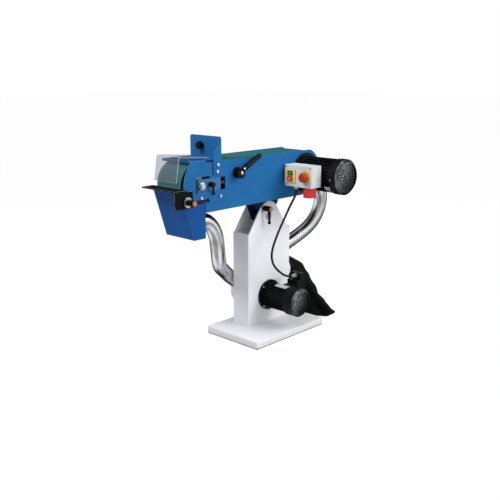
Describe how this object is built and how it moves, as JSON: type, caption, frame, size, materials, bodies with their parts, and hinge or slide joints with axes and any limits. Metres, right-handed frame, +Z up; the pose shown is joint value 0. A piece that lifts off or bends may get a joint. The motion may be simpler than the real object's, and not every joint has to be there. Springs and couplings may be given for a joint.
{
  "type": "pedestal belt grinding machine",
  "caption": "Tilting belt grinder on a sheet-metal pedestal with contact wheel, platen, tool rest, clear visor, spark hopper, dust fan, flexible ducts and dust bag.",
  "frame": {"origin": "middle of the underside of the base, on the floor", "axes": "+Z up, +X to the rear away from the contact wheel, +Y to the side away from the motors"},
  "size_m": [1.1418, 0.4835, 0.959],
  "materials": {
    "rubber": "matt",
    "tyre": "matt",
    "stand_white": "fine textured paint",
    "head_blue": "satin paint",
    "motor_black": "satin paint",
    "black_plastic": "satin",
    "zinc": "zinc plated",
    "steel": "turned",
    "alloy": "cast",
    "duct": "shiny foil",
    "cable": "matt",
    "bag": "woven",
    "abrasive": "abrasive grain on cloth",
    "visor_clear": "clear sheet",
    "box_grey": "satin",
    "yellow": "gloss",
    "green": "gloss",
    "red": "gloss",
    "orange": "gloss"
  },
  "bodies": {
    "stand": {"rubber_mat": "rubber", "base_plate": "stand_white", "column": "stand_white", "pivot_bolt": "zinc", "fan_motor_frame": "motor_black", "fan_motor_cowl": "motor_black", "fan_terminal_box": "black_plastic", "fan_gland": "box_grey", "fan_flange_bolts": "zinc", "fan_inlet_manifold": "stand_white", "dust_bag": "bag", "bag_clamp": "zinc", "front_hose": "duct", "rear_hose": "duct", "stand_hose_clamps": "zinc", "motor_cable": "cable"},
    "fan_rotor": {"fan_shaft": "steel", "fan_impeller": "alloy"},
    "head": {"head_frame": "head_blue", "belt_cover": "head_blue", "rear_guard": "head_blue", "contact_side_plate": "head_blue", "head_fasteners": "zinc", "pivot_bracket": "head_blue", "platen": "steel", "abrasive_belt": "abrasive", "spark_hopper": "head_blue", "head_hose_clamps": "zinc", "stop_bracket": "head_blue", "wheel_guard": "head_blue", "motor_frame": "motor_black", "motor_cowl": "motor_black", "switch_box": "box_grey", "switch_box_lid": "box_grey", "switch_frame": "yellow", "estop_collar": "yellow", "power_inlet": "red", "box_gland": "box_grey", "tension_spring": "steel"},
    "tension_carriage": {"tension_slide": "head_blue", "wheel_axle": "zinc"},
    "contact_wheel": {"wheel_bearings": "steel", "wheel_hub": "alloy", "wheel_tyre": "tyre"},
    "drive_rotor": {"drive_pulley": "alloy", "motor_shaft": "steel"},
    "tension_handle": {"tension_lever": "zinc", "tension_hub": "black_plastic", "tension_grip": "black_plastic"},
    "tracking_handle": {"tracking_lever": "black_plastic"},
    "rest": {"tool_rest": "motor_black"},
    "rest_clamp": {"rest_lever": "black_plastic", "rest_cap": "orange"},
    "tilt_clamp": {"tilt_lever": "black_plastic", "tilt_cap": "orange"},
    "visor_panel": {"visor": "visor_clear"},
    "visor_clamp": {"visor_knob": "black_plastic"},
    "start_key": {"start_button": "green"},
    "stop_key": {"stop_button": "red"},
    "estop_key": {"estop_button": "red"}
  },
  "joints": [
    {"name": "head_tilt", "type": "hinge", "parent": "stand", "child": "head", "pos_m": [0.025, 0.058, 0.56], "axis": [0, 1, 0], "range_deg": [-18, 18], "deforming": ["front_hose", "rear_hose", "motor_cable"]},
    {"name": "tilt_lever_turn", "type": "hinge", "parent": "head", "child": "tilt_clamp", "pos_m": [-0.00509, 0, 0.59993], "axis": [0, 1, 0], "range_deg": [-50, 50]},
    {"name": "drive_spin", "type": "hinge", "parent": "head", "child": "drive_rotor", "pos_m": [0.23747, 0.058, 0.75], "axis": [0, 1, 0], "continuous": true},
    {"name": "tension_slide_travel", "type": "slide", "parent": "head", "child": "tension_carriage", "axis": [1, 0, 0], "range_m": [0, 0.02], "deforming": ["tension_spring"]},
    {"name": "wheel_spin", "type": "hinge", "parent": "tension_carriage", "child": "contact_wheel", "pos_m": [-0.445, 0.058, 0.76], "axis": [0, 1, 0], "continuous": true},
    {"name": "tension_lever_turn", "type": "hinge", "parent": "head", "child": "tension_handle", "pos_m": [-0.235, -0.0345, 0.797], "axis": [0, -1, 0], "range_deg": [0, 80]},
    {"name": "tracking_lever_turn", "type": "hinge", "parent": "tension_carriage", "child": "tracking_handle", "pos_m": [-0.395, -0.033, 0.762], "axis": [0, 1, 0], "range_deg": [-70, 12]},
    {"name": "tool_rest_slide", "type": "slide", "parent": "head", "child": "rest", "axis": [-1, 0, 0], "range_m": [0, 0.018]},
    {"name": "rest_lever_turn", "type": "hinge", "parent": "head", "child": "rest_clamp", "pos_m": [-0.546, -0.0605, 0.706], "axis": [0, 1, 0], "range_deg": [-60, 60]},
    {"name": "visor_lift", "type": "slide", "parent": "head", "child": "visor_panel", "axis": [0, 0, 1], "range_m": [0, 0.025]},
    {"name": "visor_knob_turn", "type": "hinge", "parent": "head", "child": "visor_clamp", "pos_m": [-0.338, 0.075, 0.917], "axis": [1, 0, 0], "range_deg": [-180, 180]},
    {"name": "start_press", "type": "slide", "parent": "head", "child": "start_key", "axis": [1, 0, 0], "range_m": [0, 0.003], "stiffness_N_per_m": 500},
    {"name": "stop_press", "type": "slide", "parent": "head", "child": "stop_key", "axis": [1, 0, 0], "range_m": [0, 0.003], "stiffness_N_per_m": 500},
    {"name": "estop_press", "type": "slide", "parent": "head", "child": "estop_key", "axis": [1, 0, 0], "range_m": [0, 0.004], "stiffness_N_per_m": 900},
    {"name": "fan_spin", "type": "hinge", "parent": "stand", "child": "fan_rotor", "pos_m": [0.025, 0.058, 0.17], "axis": [0, 1, 0], "continuous": true}
  ],
  "couplings": [
    {"joint": "wheel_spin", "follows": "drive_spin", "ratio": 1},
    {"joint": "tension_lever_turn", "follows": "tension_slide_travel", "rad_per_m": 69.8}
  ]
}
